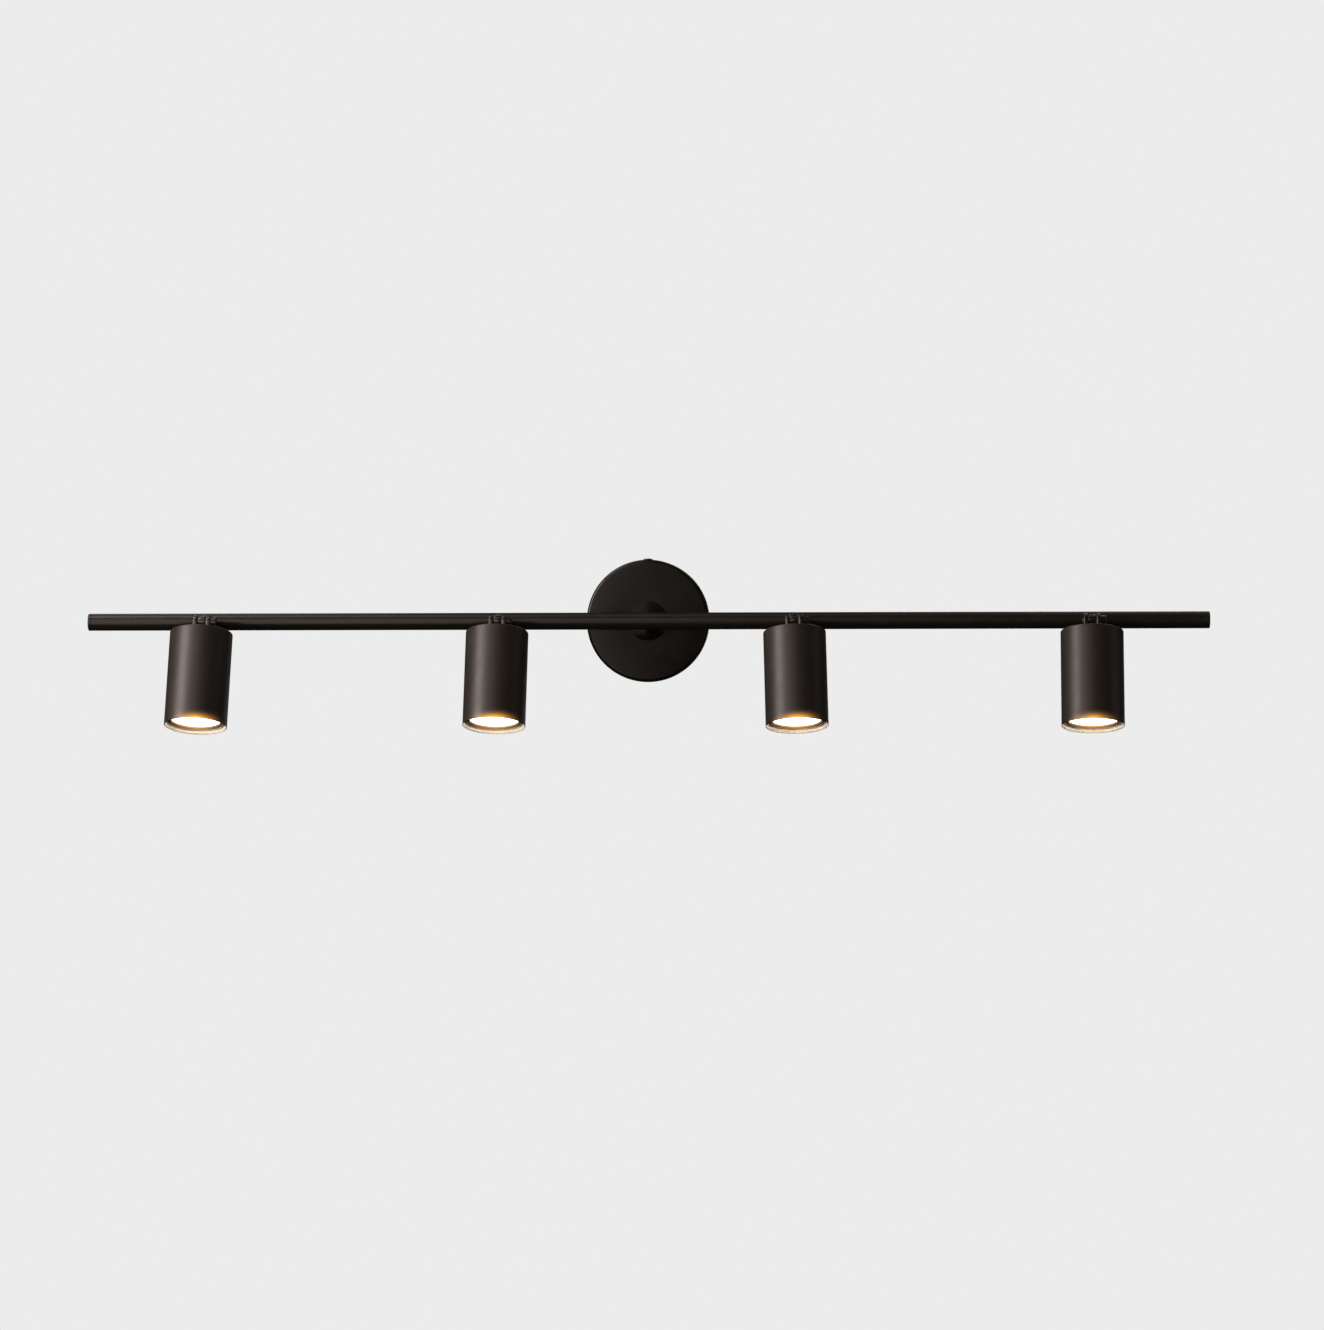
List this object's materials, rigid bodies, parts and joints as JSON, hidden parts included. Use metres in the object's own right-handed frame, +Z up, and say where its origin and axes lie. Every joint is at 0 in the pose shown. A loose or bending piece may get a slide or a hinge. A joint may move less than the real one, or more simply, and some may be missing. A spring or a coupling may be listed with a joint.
{
  "type": "wall bar spotlight",
  "caption": "Wall-mounted bar light: round canopy, horizontal tube and a row of cylinder spot heads, each on a swivel and a tilting knuckle.",
  "frame": {"origin": "centre of the canopy's back, on the wall plane, midway between the bracket's two mounting slots", "axes": "+X along the bar to the right as seen from the room, +Y into the wall, +Z up; the light stands out towards -Y"},
  "size_m": [1.05, 0.1459, 0.1635],
  "materials": {
    "black_coat": "satin",
    "black_steel": "gloss",
    "zinc_steel": "satin",
    "green_screw": "satin",
    "brass": "satin",
    "terminal_plastic": "satin",
    "brown_wire": "satin",
    "blue_wire": "satin",
    "earth_wire": "satin",
    "ceramic": "satin",
    "lamp_plastic": "satin",
    "lens": "satin",
    "lead_sheath": "matte"
  },
  "bodies": {
    "wall_plate_and_bar": {"canopy": "black_coat", "wall_bracket": "zinc_steel", "canopy_screw": "black_coat", "canopy_grub_screw": "black_coat", "ground_screw": "green_screw", "collar": "black_coat", "post": "black_coat", "post_nut": "zinc_steel", "bar_tube": "black_coat", "swivel_bosses": "black_coat", "left_end_cap": "black_coat", "right_end_cap": "black_coat", "terminal_block": "terminal_plastic", "live_wire": "brown_wire", "neutral_wire": "blue_wire", "earth_wire": "earth_wire"},
    "swivel_arm_1": {"swivel_1": "black_coat", "swivel_retainer_1": "brass"},
    "head_1": {"yoke_1": "black_coat", "pivot_screw_1": "black_steel", "yoke_nut_1": "zinc_steel", "shell_1": "black_coat", "holder_bracket_1": "zinc_steel", "lamp_holder_1": "ceramic", "lamp_body_1": "lamp_plastic", "lamp_lens_1": "lens", "lamp_lead_1": "lead_sheath"},
    "swivel_arm_2": {"swivel_2": "black_coat", "swivel_retainer_2": "brass"},
    "head_2": {"yoke_2": "black_coat", "pivot_screw_2": "black_steel", "yoke_nut_2": "zinc_steel", "shell_2": "black_coat", "holder_bracket_2": "zinc_steel", "lamp_holder_2": "ceramic", "lamp_body_2": "lamp_plastic", "lamp_lens_2": "lens", "lamp_lead_2": "lead_sheath"},
    "swivel_arm_3": {"swivel_3": "black_coat", "swivel_retainer_3": "brass"},
    "head_3": {"yoke_3": "black_coat", "pivot_screw_3": "black_steel", "yoke_nut_3": "zinc_steel", "shell_3": "black_coat", "holder_bracket_3": "zinc_steel", "lamp_holder_3": "ceramic", "lamp_body_3": "lamp_plastic", "lamp_lens_3": "lens", "lamp_lead_3": "lead_sheath"},
    "swivel_arm_4": {"swivel_4": "black_coat", "swivel_retainer_4": "brass"},
    "head_4": {"yoke_4": "black_coat", "pivot_screw_4": "black_steel", "yoke_nut_4": "zinc_steel", "shell_4": "black_coat", "holder_bracket_4": "zinc_steel", "lamp_holder_4": "ceramic", "lamp_body_4": "lamp_plastic", "lamp_lens_4": "lens", "lamp_lead_4": "lead_sheath"}
  },
  "joints": [
    {"name": "swivel_1", "type": "hinge", "parent": "wall_plate_and_bar", "child": "swivel_arm_1", "pos_m": [-0.4125, -0.088, 0], "axis": [0, 1, 0], "range_deg": [-171.5, 168.5]},
    {"name": "tilt_1", "type": "hinge", "parent": "swivel_arm_1", "child": "head_1", "pos_m": [-0.4125, -0.088, 0], "axis": [-0.9997, 0, 0.0262], "range_deg": [-17.5, 72.5]},
    {"name": "swivel_2", "type": "hinge", "parent": "wall_plate_and_bar", "child": "swivel_arm_2", "pos_m": [-0.1375, -0.088, 0], "axis": [0, 1, 0], "range_deg": [-171, 169]},
    {"name": "tilt_2", "type": "hinge", "parent": "swivel_arm_2", "child": "head_2", "pos_m": [-0.1375, -0.088, 0], "axis": [-0.9998, 0, 0.0175], "range_deg": [-17.5, 72.5]},
    {"name": "swivel_3", "type": "hinge", "parent": "wall_plate_and_bar", "child": "swivel_arm_3", "pos_m": [0.1375, -0.088, 0], "axis": [0, 1, 0], "range_deg": [-168.5, 171.5]},
    {"name": "tilt_3", "type": "hinge", "parent": "swivel_arm_3", "child": "head_3", "pos_m": [0.1375, -0.088, 0], "axis": [-0.9997, 0, -0.0262], "range_deg": [-16.5, 73.5]},
    {"name": "swivel_4", "type": "hinge", "parent": "wall_plate_and_bar", "child": "swivel_arm_4", "pos_m": [0.4125, -0.088, 0], "axis": [0, 1, 0], "range_deg": [-170.5, 169.5]},
    {"name": "tilt_4", "type": "hinge", "parent": "swivel_arm_4", "child": "head_4", "pos_m": [0.4125, -0.088, 0], "axis": [-1, 0, 0.0087], "range_deg": [-15.5, 74.5]}
  ]
}
